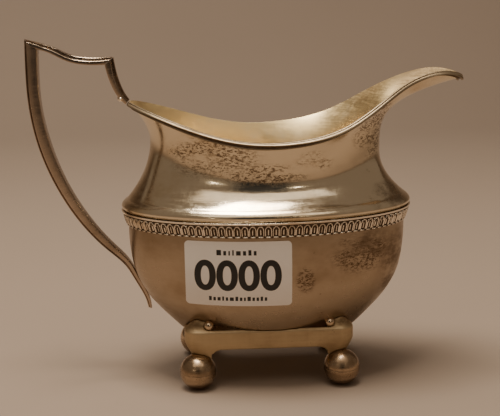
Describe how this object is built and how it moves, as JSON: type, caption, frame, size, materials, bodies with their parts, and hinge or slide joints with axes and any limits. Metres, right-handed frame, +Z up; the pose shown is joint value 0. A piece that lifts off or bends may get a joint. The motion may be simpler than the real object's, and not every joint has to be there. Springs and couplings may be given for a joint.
{
  "type": "cream jug",
  "caption": "Oval bellied silver cream jug with a high pouring lip, angular loop handle, ornamental shoulder band and ball feet on a rectangular frame.",
  "frame": {"origin": "on the table under the feet, midway along the overall length and on the plane of symmetry", "axes": "+X towards the pouring lip, +Y across the jug away from the side with the paper label, +Z up"},
  "size_m": [0.1499, 0.0638, 0.1186],
  "materials": {
    "silver_sheet": "raised sheet silver, polished then dulled, with brown tarnish speckle and fine scratches",
    "silver_gilt": "soft gilt inside of the vessel",
    "silver_ornament": "stamped and reeded silver wire, bright on its crests and dark in its hollows",
    "silver_cast": "silver handle, frame and feet, dull with brown tarnish in the corners",
    "label_paper": null
  },
  "bodies": {
    "root": {"lower_body": "silver_sheet", "upper_body": "silver_sheet", "base_plate": "silver_gilt", "shoulder_band": "silver_ornament", "rim_wire": "silver_ornament", "foot_frame": "silver_cast", "frame_stud_front_handle": "silver_cast", "ball_foot_front_handle_upper": "silver_cast", "ball_foot_front_handle_lower": "silver_cast", "frame_stud_front_spout": "silver_cast", "ball_foot_front_spout_upper": "silver_cast", "ball_foot_front_spout_lower": "silver_cast", "frame_stud_rear_handle": "silver_cast", "ball_foot_rear_handle_upper": "silver_cast", "ball_foot_rear_handle_lower": "silver_cast", "frame_stud_rear_spout": "silver_cast", "ball_foot_rear_spout_upper": "silver_cast", "ball_foot_rear_spout_lower": "silver_cast", "handle_riser": "silver_cast", "handle_top_bar": "silver_cast", "handle_grip": "silver_cast", "lot_label": "label_paper"}
  },
  "joints": []
}
